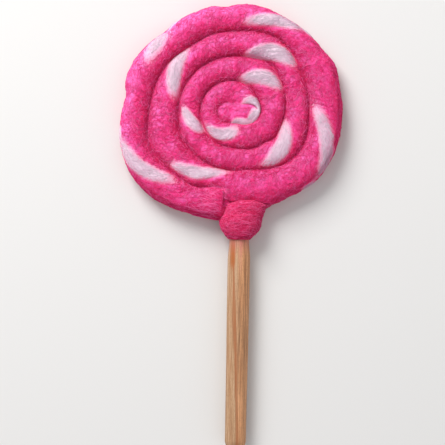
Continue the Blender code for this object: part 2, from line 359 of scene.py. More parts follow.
def streak_field(bearing, across, streaks):
    field = np.full(np.shape(across), -1.0)
    for middle, reach, centre, slant, width, strength in streaks:
        t = (bearing - middle) / reach
        field = np.maximum(field, strength - t**2 - ((across - centre - slant * t) / width) ** 2)
    return field


def rim_field(bearing, down):
    """The white strand on the rim, from the front edge (down 0) to the back edge (1)."""
    field = streak_field(bearing, np.ones(np.shape(bearing)), STREAKS) - RIM_FADE * down
    for front, back in zip(STREAKS, BACK_STREAKS):
        start, end = front[0] + front[1], back[0] - back[1]
        field = np.maximum(field, RIM_STRENGTH - ((bearing - start - (end - start) * down) / RIM_STREAK) ** 2)
    return field


def fibre_frame(s, t):
    """Turns a place along and around the rope into one along and across its fibres."""
    lean = math.radians(FIBRE_LEAN)
    return s * math.cos(lean) + t * math.sin(lean), t * math.cos(lean) - s * math.sin(lean)


def felt_relief(points, s, t, white):
    """Hand-rolled lumps, slanting plies, the felt's roughness and the white strand's border, in mm."""
    along, across = fibre_frame(s, t)
    border = STREAK_RISE * smooth(white / 0.5) - STREAK_FURROW * np.exp(-(((white + 0.15) / 0.35) ** 2))
    relief = np.zeros(len(points))
    for i, point in enumerate(points.tolist()):
        for height, on_fibres, waves, seed in FELT_RELIEF:
            a, b, c = (along[i], across[i], 0.0) if on_fibres else point
            relief[i] += height * noise.noise((a * waves[0], b * waves[1], c * waves[2] + seed))
    return relief + border


# Surfaces

def face_corners(grid):
    """The four corners of every cell of a grid."""
    return np.stack((grid[:-1, :-1], grid[1:, :-1], grid[1:, 1:], grid[:-1, 1:]), 2)


class Surface:
    """Four-cornered faces, with the wool's way on each, and values at their corners.

    The values are the place along and around in mm, how white the wool is, how much painted shade it gets
    (mostly for lying deep in a groove), and the place in the flat layout for textures, which is made of
    lanes.
    """

    LANE = 340
    LANE_GAP = 1.0
    MARGIN = 0.01

    def __init__(self):
        self.points, self.quads, self.ways, self.values = [], [], [], []
        self.count = 0
        self.laid = 0.0

    def add_points(self, points):
        first = self.count
        self.points.append(np.asarray(points, float))
        self.count += len(points)
        return np.arange(first, self.count)

    def add_grid(self, ids, way, values, width):
        """Faces between rows of point ids. way and values are given for each id, and width is in mm."""
        across = np.linspace(0.0, width, ids.shape[1])
        for start in range(0, len(ids) - 1, self.LANE):
            rows = slice(start, start + self.LANE + 1)
            count = len(ids[rows])
            share = np.arange(count)[:, None] / self.LANE
            u = np.repeat(self.MARGIN + (1.0 - 2.0 * self.MARGIN) * share, len(across), 1)
            v = np.repeat(self.laid + across[None], count, 0)
            self.laid += width + self.LANE_GAP
            stack = np.stack([value[rows] for value in values] + [u, v], -1)
            self.quads.append(face_corners(ids[rows]).reshape(-1, 4))
            self.values.append(face_corners(stack).reshape(-1, 4, stack.shape[-1]))
            self.ways.append(face_corners(way[rows]).mean(2).reshape(-1, 3))

    def finish(self):
        self.points = np.concatenate(self.points)
        self.points[:, 2] = np.maximum(self.points[:, 2], FLOOR_CLEARANCE)
        self.quads = np.concatenate(self.quads)
        self.ways = unit(np.concatenate(self.ways))
        self.values = np.concatenate(self.values)
        self.values[:, :, 5] /= self.laid
        return self


class Swirl:
    """The rope's fine surface, as rungs between the model's own lines."""

    def __init__(self):
        self.surface = Surface()
        step = 360.0 / STEPS
        first, last, bend = round(ROPE_START / step), round(GROOVE_END / step), round(BEND / step)
        middle = last - STEPS + bend
        reach = (last - middle) // 2
        turns = np.arange(first, last + 1)
        closing = np.arange(1, reach + 1)
        inner = np.concatenate((turns, np.full(bend, last), last - closing))
        bending = last - STEPS + np.arange(1, bend + 1)
        outer = np.concatenate((turns - STEPS, bending, middle + closing))
        self.bearings = np.arange(first - STEPS, last + 1) * step
        self.rung_bearing = (first + np.arange(len(inner))) * step
        self.a, self.b = inner - first + STEPS, outer - first + STEPS
        is_rim = self.bearings < ROPE_START - 1e-6
        inset = np.where(is_rim, rim_inset(self.bearings, math.sin(RIM_LEAN)), 0.0)
        self.line_xy = place(self.bearings, line_radius(self.bearings) - inset)
        middles = (self.line_xy[self.a] + self.line_xy[self.b]) / 2.0
        moved = np.linalg.norm(np.diff(middles, axis=0), axis=1)
        self.length = np.concatenate(([0.0], np.cumsum(moved)))
        way = unit(np.gradient(middles, axis=0))
        way[-1] = way[-2]
        padded = np.pad(way, ((EVENED, EVENED), (0, 0)), mode="edge")
        way = unit(sum(padded[k:k + len(way)] for k in range(2 * EVENED + 1)))
        self.way = np.column_stack((way, np.zeros(len(way))))
        width = np.linalg.norm(self.line_xy[self.b] - self.line_xy[self.a], axis=1)
        from_end = np.clip((self.rung_bearing - ROPE_START) / END_ROUNDING, 0.0, 1.0)
        rounded = np.sqrt(1.0 - (1.0 - from_end) ** 2)
        closed = np.sin(math.pi / 2 * np.minimum(1.0, width / MIDDLE_WIDTH))
        self.share = np.where(np.arange(len(width)) > len(width) - reach / 2, closed, rounded)
        self.line_ids = {}
        self.end_rows = {}

    def lay_side(self, side, strips):
        """The front (side 1) or the back (side -1)."""
        a, b = self.a, self.b
        low = line_height(self.bearings, side)
        ids = self.surface.add_points(np.column_stack((self.line_xy, MIDDLE_Z + side * low)))
        self.line_ids[side] = ids
        inner_xy, outer_xy = self.line_xy[a], self.line_xy[b]
        lowest = np.maximum(low[a], low[b])
        top = lowest + (crest(np.maximum.accumulate(self.bearings[a]), side) - lowest) * self.share
        bends = [np.arccos(np.minimum(1.0, low[ends] / top)) for ends in (a, b)]
        # Painted groove shade: how strongly each side's groove gets it, less where the groove fades inwards,
        # and growing past the rope's end on the outer side
        begun = smooth((self.bearings[b] - ROPE_START) / DEEPENING)
        groove = [1.0 - groove_fade(self.bearings[a]), (1.0 - groove_fade(self.bearings[b])) * begun]
        outwards = unit(outer_xy - inner_xy)
        outwards[-1] = outwards[-2]
        streaks = STREAKS + MIDDLE_STREAKS if side > 0 else BACK_STREAKS
        back_round = 2 * HALF_ROUND + RIM_ROUND
        rows, values = [], []
        for k in range(strips + 1):
            turn = 2.0 * k / strips - 1.0
            half = 0 if turn < 0 else 1
            angle = bends[half] * turn
            across = np.sin(angle) / np.maximum(np.sin(bends[half]), 1e-6)
            around = np.full(len(a), HALF_ROUND * turn if side > 0 else back_round - HALF_ROUND * turn)
            white = streak_field(self.rung_bearing, across, streaks)
            # Painted shade grows across the rope towards each groove
            edge = np.clip((np.abs(across) - SHADE_START) / (1.0 - SHADE_START), 0.0, 1.0)
            depth = groove[half] * edge**SHADE_POWER
            values.append((self.length, around, white, depth))
            if k in (0, strips):
                rows.append(ids[a] if k == 0 else ids[b])
                continue
            xy = (inner_xy * (1 - across)[:, None] + outer_xy * (1 + across)[:, None]) / 2.0
            foot = low[a] if half == 0 else low[b]
            rise = np.maximum(top - foot, 1e-6)
            full = np.clip((top * np.cos(angle) - foot) / rise, 0.0, 1.0) ** SHOULDER_POWER
            full *= VALLEY_LEVEL + (1.0 - VALLEY_LEVEL) * smooth((1.0 - np.abs(across)) / VALLEY)
            points = np.column_stack((xy, MIDDLE_Z + side * (foot + rise * full)))
            swell = felt_relief(points, self.length, around, white) * (1.0 - across**4)
            normal = np.column_stack((outwards * np.sin(angle)[:, None], side * np.cos(angle)))
            new = self.surface.add_points(points + normal * swell[:, None])
            new[-1] = ids[a[-1]]
            rows.append(new)
        order = slice(None) if side > 0 else slice(None, None, -1)
        grid = np.stack(rows[order], 1)
        way = np.repeat(self.way[:, None], strips + 1, 1)
        self.surface.add_grid(grid, way, np.stack(values[order], 2), 2 * HALF_ROUND)
        self.end_rows[side] = grid[0][order]

    def lay_rim(self):
        """The rim, from the front edge down to the back edge."""
        rim = np.arange(STEPS + 1)
        bearing = self.bearings[rim]
        way = unit(np.gradient(self.line_xy[rim], axis=0))
        outwards = np.column_stack((-way[:, 1], way[:, 0]))
        length = np.interp(bearing + 360.0, self.rung_bearing, self.length)
        before_end = ROPE_START - bearing
        near_end = smooth(before_end / END_RELIEF)
        # Painted shade on the rim's last degrees before the rope's end
        depth = 1.0 - smooth(before_end / END_SHADE)
        rows, values = [], []
        for row in range(RIM_ROWS + 2):
            down = row / (RIM_ROWS + 1)
            around = np.full(len(rim), HALF_ROUND + RIM_ROUND * down)
            white = rim_field(bearing + 360.0, down)
            values.append((length, around, white, depth))
            if row in (0, RIM_ROWS + 1):
                rows.append(self.line_ids[1 if row == 0 else -1][rim])
                continue
            turned = RIM_LEAN + (math.pi - 2.0 * RIM_LEAN) * down
            side = 1 if turned < math.pi / 2 else -1
            radius = line_radius(bearing) - np.where(rim < STEPS, rim_inset(bearing, math.sin(turned)), 0.0)
            end = smooth(before_end / END_CLOSING)
            height = side * crest(bearing, side) * abs(math.cos(turned)) * end
            height = height + (1.0 - 2.0 * down) * line_height(bearing, side) * (1.0 - end)
            points = np.column_stack((place(bearing, radius), MIDDLE_Z + height))
            swell = felt_relief(points, length, around, white) * near_end * math.sin(math.pi * down)
            points[:, :2] += outwards * swell[:, None]
            rows.append(self.surface.add_points(points))
        grid = np.stack(rows, 1)
        ways = np.repeat(np.column_stack((way, np.zeros(len(way))))[:, None], grid.shape[1], 1)
        self.surface.add_grid(grid, ways, np.stack(values, 2), RIM_ROUND)
        return grid

    def lay_end(self, rim):
        """The rope's blunt end, between its first rung on the front and on the back."""
        points = np.concatenate(self.surface.points)
        front = self.end_rows[1]
        back = self.end_rows[-1][np.round(np.linspace(0, BACK_STRIPS, FRONT_STRIPS + 1)).astype(int)]
        columns = [front]
        for row in range(1, RIM_ROWS + 1):
            share = row / (RIM_ROWS + 1)
            bulge = np.interp(np.linspace(-1.0, 1.0, FRONT_STRIPS + 1), *zip(*END_BULGE))
            bulge = bulge * math.sqrt(math.sin(math.pi * share))
            middle = points[front] * (1 - share) + points[back] * share
            new = self.surface.add_points(middle + np.array((1.0, 0.0, 0.0)) * bulge[:, None])
            new[0] = rim[-1][row]
            new[-1] = rim[0][row]
            columns.append(new)
        grid = np.stack(columns + [back], 1)
        ways = np.zeros((*grid.shape, 3))
        ways[:, :, 2] = 1.0
        place_on = points[front][:, :1].repeat(grid.shape[1], 1)
        # The blunt end gets painted shade all over
        values = (place_on, np.repeat(np.linspace(0, RIM_ROUND, grid.shape[1])[None], len(grid), 0),
                  np.full(grid.shape, -1.0), np.full(grid.shape, 0.9))
        self.surface.add_grid(grid, ways, values, RIM_ROUND)

    def build(self):
        self.lay_side(1, FRONT_STRIPS)
        self.lay_side(-1, BACK_STRIPS)
        self.lay_end(self.lay_rim())
        return self.surface.finish()


def wrapped(grid):
    """A grid with its first column again after its last one."""
    return np.concatenate((grid, grid[:, :1]), 1)


def ringed_surface(rings, lengths, arounds, painted_shades, wound):
    """A closed surface from rings of points. The first and the last ring shrink to one point each."""
    surface = Surface()
    ids = wrapped(surface.add_points(rings.reshape(-1, 3)).reshape(rings.shape[:2]))
    ids[0] = ids[0, 0]
    ids[-1] = ids[-1, 0]
    way = np.roll(rings, -1, 1) - np.roll(rings, 1, 1) if wound else np.gradient(rings, axis=0)
    values = (lengths, arounds, np.full(ids.shape, -1.0), painted_shades)
    surface.add_grid(ids, unit(wrapped(way)), values, RING_WIDTH)
    return surface.finish()


def stick_radius(y):
    radius = STICK_FOOT_RADIUS + (STICK_RADIUS - STICK_FOOT_RADIUS) * smooth((y - STICK_FOOT) / 60.0)
    return radius - STICK_NECK * smooth((y - NECK_FROM) / (NECK_TO - NECK_FROM))


def curve(rows, at):
    """The values at a place on a smooth curve through rows of a place and its values."""
    places = [row[0] for row in rows]
    k = min(max(np.searchsorted(places, at, side="right") - 1, 0), len(places) - 2)
    t = (at - places[k]) / (places[k + 1] - places[k])
    near = [rows[min(max(k + j, 0), len(rows) - 1)] for j in (-1, 0, 1, 2)]
    before, start, end, after = (np.array(row[1:]) for row in near)
    bend = 2 * before - 5 * start + 4 * end - after
    return start + 0.5 * t * (end - before + t * (bend + t * (3 * (start - end) + after - before)))


def collar_surface():
    """Wool wound round the stick's top end, closed on the coil and, with its lip, on the stick."""
    sides = COLLAR_SIDES
    angle = math.tau * np.arange(sides) / sides
    waves = (np.cos(angle), np.sin(angle))
    across, up = (np.sign(wave) * np.abs(wave) ** COLLAR_SQUARENESS for wave in waves)
    bearing = np.linspace(LAST_RIM_BEARING, ROPE_START - 30.0, 40)
    rim = place(bearing, line_radius(bearing) - COLLAR_OVERLAP)
    circle = np.column_stack((np.cos(angle), np.zeros(sides), np.sin(angle)))
    axis = np.array((STICK_X, 0.0, MIDDLE_Z))
    along = np.array((0.0, 1.0, 0.0))
    rings = []
    for radius, y in ((0.0, BORE_END), (BORE_RADIUS, BORE_END), (BORE_RADIUS, COLLAR_MOUTH + 2.0),
                      (stick_radius(COLLAR_MOUTH) - 0.05, COLLAR_MOUTH + 0.3),
                      (stick_radius(COLLAR_MOUTH) + 0.1, COLLAR_MOUTH - 0.15)):
        rings.append(axis + circle * radius + along * y)
    for share in np.linspace(0.0, 1.0, COLLAR_RINGS):
        left = curve(COLLAR_REACH, share * COLLAR_HEIGHT_LEFT)[0]
        right = curve(COLLAR_REACH, share * COLLAR_HEIGHT_RIGHT)[1]
        rise = curve(COLLAR_RISES, share * COLLAR_HEIGHT_LEFT)[0]
        x = STICK_X + across * np.where(across > 0, right, left)
        highest = COLLAR_MOUTH + COLLAR_HEIGHT_LEFT + COLLAR_OVERLAP
        top = np.minimum(np.interp(x, rim[:, 0], rim[:, 1]), highest)
        y = COLLAR_MOUTH + share * (top - COLLAR_MOUTH)
        from_top = np.minimum((top - y) / SHOULDER, 1.0)
        rounding = np.sqrt(1.0 - (1.0 - from_top) ** 2)
        low = SHOULDER_LEVEL + (rise - SHOULDER_LEVEL) * rounding
        z = up * np.where(up > 0, low, np.minimum(low, COLLAR_UNDERSIDE))
        ring = np.column_stack((x, y, MIDDLE_Z + z))
        outwards = unit(np.column_stack((across, np.zeros(sides), up)))
        swell = np.zeros(sides)
        for i in range(sides):
            turned = (math.cos(angle[i]) * 0.9, math.sin(angle[i]) * 0.9)
            wound = y[i] + WINDING_SLANT * math.sin(angle[i] + 0.6)
            for height, around, along_it, seed in WINDINGS:
                spot = (turned[0] * around, turned[1] * around, wound * along_it + seed)
                swell[i] += height * noise.noise(spot)
            height, waves = COLLAR_ROUGHNESS
            swell[i] += height * noise.noise((ring[i, 0] * waves, y[i] * waves, ring[i, 2] * waves))
        fade = smooth(share / 0.08)
        rings.append(ring + outwards * (swell * fade)[:, None])
    rings.append(rings[-1].mean(0)[None].repeat(sides, 0))
    rings = np.stack(rings)
    lengths = np.repeat(np.append(angle, math.tau)[None] * 7.0, len(rings), 0)
    arounds = wrapped(rings[:, :, 1])
    # painted shade: full inside the bore and at the lip, fading up from the mouth, and growing in the last
    # rings where the collar closes on the coil
    painted_shades = np.zeros(lengths.shape)
    painted_shades[-COLLAR_RINGS_WITH_PAINTED_SHADE:] = smooth(np.arange(COLLAR_RINGS_WITH_PAINTED_SHADE) / (COLLAR_RINGS_WITH_PAINTED_SHADE - 2.0))[:, None] * 0.9
    painted_shades[:5] = 1.0
    painted_shades[5:10] = np.linspace(0.7, 0.0, 5)[:, None]
    return ringed_surface(rings, lengths, arounds, painted_shades, wound=True)


def stick_surface():
    """The dowel, with shallow lengthwise grain and a slightly rounded chamfer at its foot."""
    sides = STICK_SIDES
    angle = math.tau * np.arange(sides) / sides
    foot = [(radius, STICK_FOOT) for radius in (0.0, 1.2, 2.3, CHAMFER_RADIUS - 0.1)]
    foot += [(CHAMFER_RADIUS + 0.02, STICK_FOOT + 0.07)]
    edge = STICK_FOOT + CHAMFER
    foot += [(CHAMFER_RADIUS + (stick_radius(edge) - CHAMFER_RADIUS) * k, STICK_FOOT + CHAMFER * k)
             for k in (0.3, 0.6, 0.9)]
    body = [(stick_radius(y), y) for y in np.linspace(edge + 0.15, STICK_TOP, STICK_RINGS)]
    rings = []
    for radius, y in foot + body + [(0.0, STICK_TOP)]:
        relief = np.array([
            sum(height * noise.noise((math.cos(a) * around, math.sin(a) * around, y * along))
                for height, around, along in STICK_RELIEF)
            for a in angle
        ])
        size = radius + relief * min(1.0, radius / 3.0)
        rings.append(np.column_stack((STICK_X + size * np.cos(angle), np.full(sides, y),
                                      MIDDLE_Z + size * np.sin(angle))))
    rings = np.stack(rings)
    lengths = wrapped(rings[:, :, 1])
    arounds = np.repeat(np.append(angle, math.tau)[None] * 4.0, len(rings), 0)
    return ringed_surface(rings, lengths, arounds, np.zeros(lengths.shape), wound=False)


# Meshes

def add_object(name, data):
    thing = bpy.data.objects.new(name, data)
    bpy.context.scene.collection.objects.link(thing)
    return thing


def make_mesh(name, points, quads, maps):
    """A smooth mesh object from points in millimetres. Where a face repeats a corner, it is dropped."""
    keep = np.ones(quads.shape, bool)
    for corner in range(1, 4):
        keep[:, corner] = (quads[:, :corner] != quads[:, corner:corner + 1]).all(1)
    keep &= keep.sum(1, keepdims=True) > 2
    sizes = keep.sum(1)
    sizes = sizes[sizes > 0]
    corners = quads[keep]
    used, corners = np.unique(corners, return_inverse=True)
    data = bpy.data.meshes.new(name)
    data.vertices.add(len(used))
    data.vertices.foreach_set("co", (points[used] * MM).astype(np.float32).ravel())
    data.loops.add(len(corners))
    data.loops.foreach_set("vertex_index", corners.astype(np.int32).ravel())
    data.polygons.add(len(sizes))
    starts = np.cumsum(sizes) - sizes
    data.polygons.foreach_set("loop_start", starts.astype(np.int32))
    data.update(calc_edges=True)
    for map_name, values in maps.items():
        uv_map = data.uv_layers.new(name=map_name)
        uv_map.data.foreach_set("uv", values[keep].astype(np.float32).ravel())
    data.shade_smooth()
    return add_object(name, data)


def make_surface(name, surface):
    values = surface.values
    maps = {"Strand": values[:, :, 0:2], "Wool": values[:, :, 2:4], "OFBake": values[:, :, 4:6]}
    return make_mesh(name, surface.points, surface.quads, maps)


def dress(piece, material, slot_name, *nodes):
    """Gives a piece its material and body, and hides the model's nodes that it stands for. Its slot_name is
    not used.
    """
    piece.data.materials.append(material)
    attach(piece, BODY)
    if nodes:
        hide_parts(*nodes)
    return piece


# Materials

def new_material(name):
    material = bpy.data.materials.new(name)
    material.use_nodes = True
    tree = material.node_tree
    return material, tree, tree.nodes["Principled BSDF"]


def add_node(tree, kind, **values):
    """A node whose inputs are linked or set, and whose other values are set."""
    node = tree.nodes.new(kind)
    for key, value in values.items():
        if key not in node.inputs:
            setattr(node, key, value)
        elif isinstance(value, bpy.types.NodeSocket):
            tree.links.new(value, node.inputs[key])
        else:
            node.inputs[key].default_value = value
    return node


def feed(socket, value):
    """Links a socket to a value, or sets it where the value is a number or a colour."""
    if isinstance(value, bpy.types.NodeSocket):
        socket.id_data.links.new(value, socket)
    else:
        socket.default_value = (*value, 1.0) if isinstance(value, tuple) else value


def layer(colour, *layers):
    """Lays colours over a colour. Each one comes after how much of it shows."""
    for share, over in layers:
        node = add_node(share.id_data, "ShaderNodeMix", data_type="RGBA")
        for index, value in zip((0, 6, 7), (share, colour, over)):
            feed(node.inputs[index], value)
        colour = node.outputs[2]
    return colour


def calculate(operation, first, *others):
    node = add_node(first.id_data, "ShaderNodeMath", operation=operation)
    for socket, value in zip(node.inputs, (first, *others)):
        feed(socket, value)
    return node.outputs[0]


def plus(first, second):
    return calculate("ADD", first, second)


def times(first, second):
    return calculate("MULTIPLY", first, second)


def times_plus(value, factor, shift):
    return calculate("MULTIPLY_ADD", value, factor, shift)


def distance(value, place_at):
    return calculate("ABSOLUTE", calculate("SUBTRACT", value, place_at))


def map_range(value, low, high, to_low=0.0, to_high=1.0):
    node = add_node(value.id_data, "ShaderNodeMapRange", interpolation_type="SMOOTHSTEP")
    for socket, number in zip(node.inputs, (value, low, high, to_low, to_high)):
        feed(socket, number)
    return node.outputs["Result"]


def ramp(factor, *stops):
    """Colours along a factor, from stops of a position and a colour."""
    node = add_node(factor.id_data, "ShaderNodeValToRGB", Fac=factor)
    elements = node.color_ramp.elements
    for i, (position, colour) in enumerate(stops):
        element = elements[i] if i < 2 else elements.new(position)
        element.position = position
        element.color = (*colour, 1.0)
    return node.outputs["Color"]


def split_values(vector):
    """The first two values of a vector."""
    split = add_node(vector.id_data, "ShaderNodeSeparateXYZ", Vector=vector)
    return split.outputs["X"], split.outputs["Y"]


def read_map(tree, name):
    return add_node(tree, "ShaderNodeUVMap", uv_map=name).outputs["UV"]


def make_noise(vector, **values):
    return add_node(vector.id_data, "ShaderNodeTexNoise", **values, Vector=vector).outputs["Fac"]


def streaky_noise(vector, lean, length, width, detail=4.0):
    """Noise drawn out along a lean, from a vector in mm."""
    turned = add_node(vector.id_data, "ShaderNodeMapping", vector_type="TEXTURE", Vector=vector,
                      Scale=(length, width, 1.0), Rotation=(0.0, 0.0, math.radians(lean)))
    vector = turned.outputs["Vector"]
    return make_noise(vector, noise_dimensions="2D", Scale=1.0, Detail=detail, Roughness=0.62)


def piece_place(tree):
    """The place on the piece, in metres."""
    return add_node(tree, "ShaderNodeTexCoord").outputs["Object"]


def facing(tree, way):
    """How far the surface looks a given way, from -1 to 1."""
    normal = add_node(tree, "ShaderNodeNewGeometry").outputs["Normal"]
    node = add_node(tree, "ShaderNodeVectorMath", operation="DOT_PRODUCT", Vector=normal)
    node.inputs[1].default_value = way
    return node.outputs["Value"]


def curls(spot, scale, seed):
    """Thin curly lines, like single fibres that lie on the wool."""
    level = make_noise(spot, noise_dimensions="4D", Scale=scale, Detail=1.5, Roughness=0.5, W=seed)
    return map_range(distance(level, 0.5), 0.0, CURL_WIDTH, 1.0, 0.0)


def add_bump(shader, height, strength, depth):
    bump = add_node(shader.id_data, "ShaderNodeBump", Strength=strength, Distance=depth, Height=height)
    feed(shader.inputs["Normal"], bump.outputs["Normal"])


def wool_finish(shader, sheen):
    for name, value in WOOL_FINISH.items():
        shader.inputs[name].default_value = value
    shader.inputs["Sheen Weight"].default_value = sheen


def wool_material(name, lean, shades):
    """Matted wool with white wool where it shows, a painted highlight where it faces the key lamp, and
    painted shade where it turns away and in grooves.
    """
    painted_groove_colour, painted_shade_colour, main, painted_highlight_colour, deep, bright = shades
    material, tree, shader = new_material(name)
    white, groove = split_values(read_map(tree, "Wool"))
    streaks = streaky_noise(read_map(tree, "Strand"), lean, STREAK_LENGTH, STREAK_WIDTH)
    spot = piece_place(tree)
    matting, specks, patches = (
        make_noise(spot, Scale=scale, Detail=3.0, Roughness=0.6) for scale in (MATTING, SPECKS, PATCHES)
    )
    blend = times_plus(streaks, 0.36, times(matting, 0.64))
    tone = times_plus(specks, 0.5, times(blend, 0.5))
    # painted light: high where the wool faces the key lamp, low where it turns away, mottled at random by
    # noise
    painted_light_and_mottling = times_plus(patches, 0.75, plus(facing(tree, PAINTED_LIGHT_WAY), -0.375))
    hairs = times_plus(groove, 0.1, 0.16)
    # painted highlight and painted shade by how the wool faces the key lamp, painted shade in grooves, then
    # random tone and curls
    pink = layer(
        ramp(painted_light_and_mottling, (0.24, painted_shade_colour), (0.52, main), (0.84, painted_highlight_colour)),
        (times(groove, 0.8), painted_groove_colour),
        (map_range(tone, 0.37, 0.52, 0.5, 0.0), deep),
        (map_range(tone, 0.5, 0.66, 0.0, 0.5), bright),
        (times(curls(spot, *BRIGHT_CURLS), hairs), bright),
        (times(curls(spot, *DEEP_CURLS), 0.1), deep),
        (times(curls(spot, *PALE_CURLS), hairs), FIBRE_PALE),
    )
    # the white wool gets painted highlight and painted shade the same way, and turns pink as painted shade in
    # grooves
    pale = layer(
        ramp(painted_light_and_mottling, (0.04, WHITE_DARK_AND_PAINTED_SHADE), (0.46, WHITE_WOOL), (0.86, WHITE_BRIGHT_AND_PAINTED_HIGHLIGHT)),
        (map_range(tone, 0.37, 0.52, 0.24, 0.0), WHITE_DARK_AND_PAINTED_SHADE),
        (times(groove, 0.3), main),
    )
    # the white strand's border is ragged, and thins out over the pink
    ragged = times_plus(blend, 1.2, plus(white, -0.52))
    cover = calculate("POWER", map_range(ragged, -0.58, 1.02), 1.4)
    feed(shader.inputs["Base Color"], layer(pink, (cover, pale)))
    wool_finish(shader, WOOL_SHEEN)
    add_bump(shader, times_plus(blend, 1.2, specks), 0.28, 0.00035)
    return material


def fibre_material(name, dark, middle, light):
    """Wool fibres. Each fibre has its own shade, which on the rope holds painted highlight and painted shade
    as well as random tone.
    """
    material, tree, shader = new_material(name)
    shade = add_node(tree, "ShaderNodeAttribute", attribute_name="shade").outputs["Fac"]
    feed(shader.inputs["Base Color"], ramp(shade, (0.0, dark), (0.5, middle), (1.0, light)))
    wool_finish(shader, FIBRE_SHEEN)
    return material


def wood_material():
    """Pale wood, browner on its right and painted lighter there against the key lamp's shade, with lengthwise
    grain, an orange streak and patch, and pink stains.
    """
    material, tree, shader = new_material("bare_wood")
    vector = read_map(tree, "Strand")
    along = split_values(vector)[0]
    x = times_plus(split_values(piece_place(tree))[0], 1.0 / MM, -STICK_X)
    kinds = (GRAIN, FINE_GRAIN, WIDE_GRAIN, PORES, ORANGE_LINES)
    grain, fine, wide, pores, lines = (streaky_noise(vector, 0.0, *kind) for kind in kinds)
    tone = times_plus(grain, 0.55, times(fine, 0.45))
    tone = times_plus(wide, 0.22, plus(tone, -0.11))
    both = plus(grain, fine)
    # the right side is browner, and painted lighter there against the key lamp's shade
    side = map_range(times_plus(wide, 1.5, x), 0.0, 2.2, 0.0, 0.6)
    brown_and_painted_light = ramp(tone, (0.38, WOOD_DARK), (0.58, WOOD_BROWN_AND_PAINTED_LIGHT))
    # the streak drifts from left of the middle at the top to right of it at the foot
    drift = plus(x, times_plus(along, *ORANGE_DRIFT))
    off = distance(plus(drift, times(wide, 1.2)), 0.6)
    streak = map_range(times_plus(grain, 1.3, plus(off, -0.65)), 0.1, 0.95, 0.85, 0.0)
    # the patch is below the collar on the left
    patch_x = times_plus(fine, 1.6, plus(distance(x, PATCH_X), -0.8))
    patch = map_range(distance(along, PATCH_Y), 2.5, 6.5, 0.95, 0.0)
    patch = times(map_range(patch_x, 0.3, 1.3, 1.0, 0.0), patch)
    # the wool has stained the wood at the top, and further down right of the middle
    top = times_plus(both, 9.0, plus(along, -TOP_STAIN_Y))
    stain_x = times_plus(both, 2.4, plus(distance(x, STAIN_X), -2.4))
    stain = times(map_range(stain_x, 0.0, 0.9, 0.65, 0.0), map_range(along, -20.0, -9.0))
    colour = layer(
        ramp(tone, (0.36, WOOD_DARK), (0.5, WOOD_TAN), (0.61, WOOD_PALE)),
        (side, brown_and_painted_light),
        (streak, WOOD_ORANGE),
        (map_range(lines, 0.56, 0.68, 0.0, 0.55), WOOD_ORANGE),
        (patch, WOOD_PATCH),
        (map_range(top, -9.5, -1.5, 0.0, 0.6), WOOD_PINK),
        (stain, WOOD_PINK),
        (map_range(pores, 0.56, 0.68, 0.0, 0.5), WOOD_DARK),
    )
    feed(shader.inputs["Base Color"], colour)
    feed(shader.inputs["Roughness"], map_range(grain, 0.3, 0.7, 0.68, 0.52))
    shader.inputs["Specular IOR Level"].default_value = 0.35
    add_bump(shader, both, 0.35, 0.0002)
    return material


# Fibres

class Field:
    """A surface that fibres grow on: nearest points on it, and the wool's way there."""

    def __init__(self, surface):
        self.points, self.quads, self.ways = surface.points, surface.quads, surface.ways
        self.tree = BVHTree.FromPolygons(surface.points.tolist(), surface.quads.tolist(), epsilon=0.0)
        p = self.points[self.quads]
        cross = np.cross(p[:, 2] - p[:, 0], p[:, 3] - p[:, 1]) / 2.0
        self.area = np.linalg.norm(cross, axis=1)
        self.normal = unit(cross)
        self.middle = p.mean(1)
        means = surface.values.mean(1)
        self.white = smooth((means[:, 2] + 0.12) / 0.62)
        # How much painted groove shade the wool gets; it also draws tangled fibres into the grooves
        self.groove = means[:, 3]

    def nearest(self, points):
        found = [self.tree.find_nearest(p) for p in points.tolist()]
        return np.array([f[0] for f in found]), np.array([f[2] for f in found])


def grow_fibres(field, weight, count, length, lean, spread, wobble, lift, rise, knots):
    """Fibres that walk over a surface: their points, its normals there, the face where each one starts, and
    how white it is under each point. lift is how high a fibre's middle lies, and rise how far its end may.
    """
    chance = field.area * weight
    start = RANDOM.choice(len(chance), count, p=chance / chance.sum())
    mix = RANDOM.dirichlet((1.0, 1.0, 1.0, 1.0), count)
    at = (field.points[field.quads[start]] * mix[:, :, None]).sum(1)
    face = start
    angle = np.radians(lean + spread * RANDOM.standard_normal(count))
    step = length * np.exp(0.35 * RANDOM.standard_normal(count)) / (knots - 1)
    base = lift * (0.3 + RANDOM.random(count))
    tail = rise * RANDOM.random(count) ** 2
    rows, normals, whites = [], [], []
    for knot in range(knots):
        normal = field.normal[face]
        whites.append(field.white[face])
        along = unit(field.ways[face] - normal * (field.ways[face] * normal).sum(1, keepdims=True))
        across = np.cross(normal, along)
        share = knot / (knots - 1)
        height = base * math.sin(math.pi * (0.12 + 0.76 * share)) + tail * share**2
        rows.append(at + normal * height[:, None])
        normals.append(normal)
        way = along * np.cos(angle)[:, None] + across * np.sin(angle)[:, None]
        at, face = field.nearest(at + way * step[:, None])
        angle = angle + np.radians(wobble) * RANDOM.standard_normal(count)
    return np.stack(rows, 1), np.stack(normals, 1), start, np.stack(whites, 1)


def within(fibres, low, high):
    """The fibres that lie only on wool whose whiteness is between low and high."""
    whites = fibres[3]
    kept = (whites.min(1) >= low) & (whites.max(1) <= high)
    return tuple(values[kept] for values in fibres)


